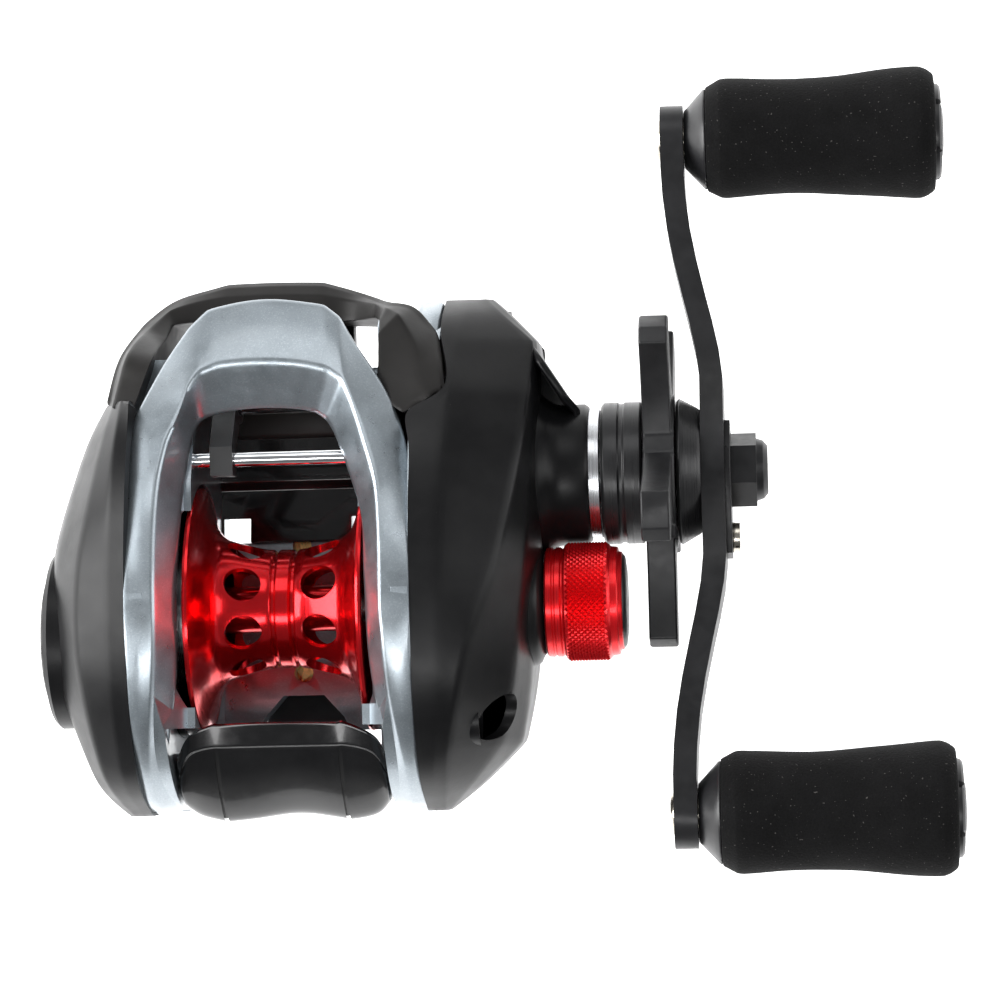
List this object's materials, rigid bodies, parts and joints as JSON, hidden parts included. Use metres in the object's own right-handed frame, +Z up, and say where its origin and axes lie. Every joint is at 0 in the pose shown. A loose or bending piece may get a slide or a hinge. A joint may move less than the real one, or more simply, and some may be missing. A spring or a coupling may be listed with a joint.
{
  "type": "baitcasting reel",
  "caption": "Low-profile baitcasting reel with level wind, star drag, thumb-bar clutch and a double-knob crank, for the top of a casting rod.",
  "frame": {"origin": "centre of the flat underside of the reel foot, straight below the middle of the spool", "axes": "+X along the spool axis towards the crank, +Y forward the way the line leaves, +Z up away from the rod"},
  "size_m": [0.1213, 0.1089, 0.0473],
  "materials": {
    "silver_paint": "metallic satin",
    "black_cover": "satin",
    "gloss_black": "gloss",
    "red_anodised": "polished anodised",
    "black_metal": "satin",
    "chrome": "polished",
    "steel": "ground",
    "light_washer": "satin",
    "brass": "machined",
    "white_gear": "moulded",
    "carbon": "woven carbon",
    "eva_foam": "closed-cell foam",
    "knob_plastic": "satin",
    "ceramic": "polished ceramic",
    "pawl_steel": "ground"
  },
  "bodies": {
    "housing": {"frame": "silver_paint", "hood": "silver_paint", "nose_cover": "black_cover", "palm_cover": "black_cover", "gear_cover": "black_cover", "set_plate": "gloss_black", "magnet_ring": "carbon", "spool_bearing_left": "steel", "spool_bearing_right": "steel", "shaft_end_bearing": "steel", "drive_bearing": "steel", "one_way_bearing": "steel", "boss_washer": "light_washer", "guide_pillar": "chrome", "worm_tube": "gloss_black", "reel_foot": "black_metal", "foot_rivet_rear": "brass", "foot_rivet_front": "brass", "cover_screw_rear": "steel", "cover_screw_front": "steel", "yoke_spring_upper": "steel", "yoke_spring_lower": "steel", "clutch_spring": "steel"},
    "thumb": {"thumb_bar": "gloss_black"},
    "yoke": {"clutch_yoke": "white_gear"},
    "pinion": {"pinion": "brass"},
    "spool": {"spool": "red_anodised", "spool_shaft": "steel", "cross_pin": "steel", "brake_rotor": "light_washer"},
    "crank": {"drive_shaft": "steel", "level_drive_gear": "white_gear", "drag_washer_inner": "carbon", "main_gear": "brass", "drag_washer_outer": "carbon", "pressure_plate": "steel", "drag_sleeve": "steel", "drag_collar": "black_metal", "star_spacer": "black_metal", "handle_arm": "black_metal", "handle_nut": "black_metal", "nut_retainer": "black_metal", "retainer_screw": "steel", "knob_spindle_front": "brass", "knob_spindle_rear": "brass"},
    "star": {"star_wheel": "black_metal"},
    "nut": {"drag_nut": "brass"},
    "knob_front": {"knob_core_front": "knob_plastic", "knob_grip_front": "eva_foam", "knob_cap_front": "knob_plastic"},
    "knob_rear": {"knob_core_rear": "knob_plastic", "knob_grip_rear": "eva_foam", "knob_cap_rear": "knob_plastic"},
    "worm": {"worm_shaft": "steel", "worm_gear": "white_gear"},
    "guide": {"line_guide": "gloss_black", "guide_eye": "ceramic", "guide_pawl": "pawl_steel"},
    "tension": {"tension_knob": "red_anodised"},
    "dial": {"brake_dial": "black_cover"}
  },
  "joints": [
    {"name": "handle_turn", "type": "hinge", "parent": "housing", "child": "crank", "pos_m": [0.054, 0.01717, 0.019], "axis": [-1, 0, 0], "continuous": true},
    {"name": "spool_spin", "type": "hinge", "parent": "housing", "child": "spool", "pos_m": [0, 0, 0.023], "axis": [-1, 0, 0], "continuous": true},
    {"name": "worm_spin", "type": "hinge", "parent": "housing", "child": "worm", "pos_m": [0, 0.029, 0.02439], "axis": [-1, 0, 0], "continuous": true},
    {"name": "guide_slide", "type": "slide", "parent": "housing", "child": "guide", "axis": [1, 0, 0], "range_m": [0, 0.0144]},
    {"name": "thumb_press", "type": "slide", "parent": "housing", "child": "thumb", "axis": [0, 0, -1], "range_m": [0, 0.003], "stiffness_N_per_m": 200, "springref_m": -0.001, "deforming": ["clutch_spring"]},
    {"name": "yoke_slide", "type": "slide", "parent": "housing", "child": "yoke", "axis": [1, 0, 0], "range_m": [0, 0.0015], "deforming": ["yoke_spring_upper", "yoke_spring_lower"]},
    {"name": "pinion_spin", "type": "hinge", "parent": "yoke", "child": "pinion", "pos_m": [0.0245, 0, 0.023], "axis": [-1, 0, 0], "continuous": true},
    {"name": "star_turn", "type": "hinge", "parent": "crank", "child": "star", "pos_m": [0.0497, 0.01717, 0.019], "axis": [1, 0, 0], "range_deg": [-180, 180]},
    {"name": "drag_nut_travel", "type": "slide", "parent": "star", "child": "nut", "axis": [-1, 0, 0], "range_m": [-0.0003, 0.0003]},
    {"name": "front_knob_spin", "type": "hinge", "parent": "crank", "child": "knob_front", "pos_m": [0.07, 0.06263, 0.01342], "axis": [1, 0, 0], "continuous": true},
    {"name": "rear_knob_spin", "type": "hinge", "parent": "crank", "child": "knob_rear", "pos_m": [0.07, -0.02829, 0.02458], "axis": [1, 0, 0], "continuous": true},
    {"name": "tension_turn", "type": "hinge", "parent": "housing", "child": "tension", "pos_m": [0.04, 0, 0.023], "axis": [1, 0, 0], "range_deg": [-180, 180]},
    {"name": "brake_dial_turn", "type": "hinge", "parent": "housing", "child": "dial", "pos_m": [-0.031, -0.0034, 0.023], "axis": [-1, 0, 0], "range_deg": [0, 270]}
  ],
  "couplings": [
    {"joint": "spool_spin", "follows": "handle_turn", "ratio": -7.2},
    {"joint": "pinion_spin", "follows": "handle_turn", "ratio": -7.2},
    {"joint": "worm_spin", "follows": "handle_turn", "ratio": -1.3636},
    {"joint": "yoke_slide", "follows": "thumb_press", "ratio": 0.5},
    {"joint": "drag_nut_travel", "follows": "star_turn", "m_per_rad": 0.000095493}
  ]
}
